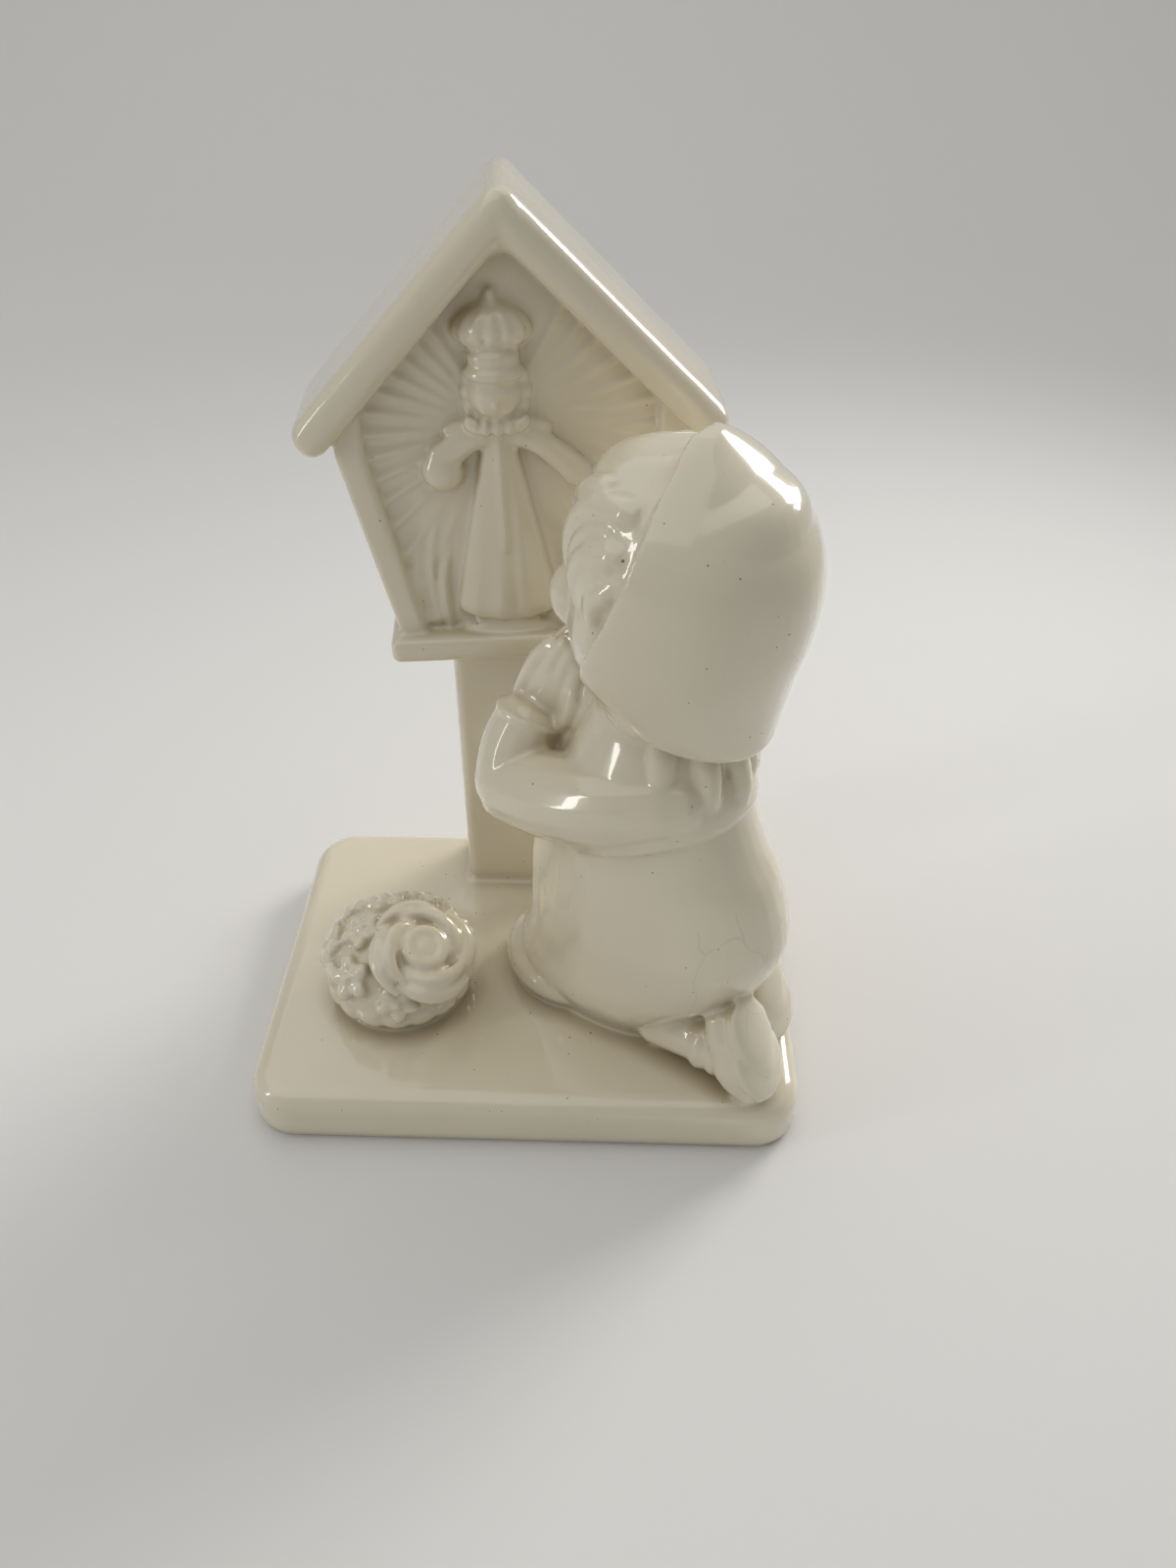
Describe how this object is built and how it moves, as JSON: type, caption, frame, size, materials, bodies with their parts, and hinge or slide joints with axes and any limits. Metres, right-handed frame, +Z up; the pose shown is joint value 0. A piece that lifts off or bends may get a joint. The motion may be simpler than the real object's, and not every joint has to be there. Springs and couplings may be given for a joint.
{
  "type": "figurine",
  "caption": "Glazed pottery figurine of a kneeling girl praying before a wayside shrine on a post, with a bunch of flowers, on a rounded plate.",
  "frame": {"origin": "middle of the plate's flat underside", "axes": "+Z up, +X to the right, front at -Y; the shrine stands at the back and the girl kneels at the right, facing back and left"},
  "size_m": [0.1, 0.0776, 0.1487],
  "materials": {
    "ivory_glaze": "gloss"
  },
  "bodies": {
    "root": {"figurine": "ivory_glaze"}
  },
  "joints": []
}
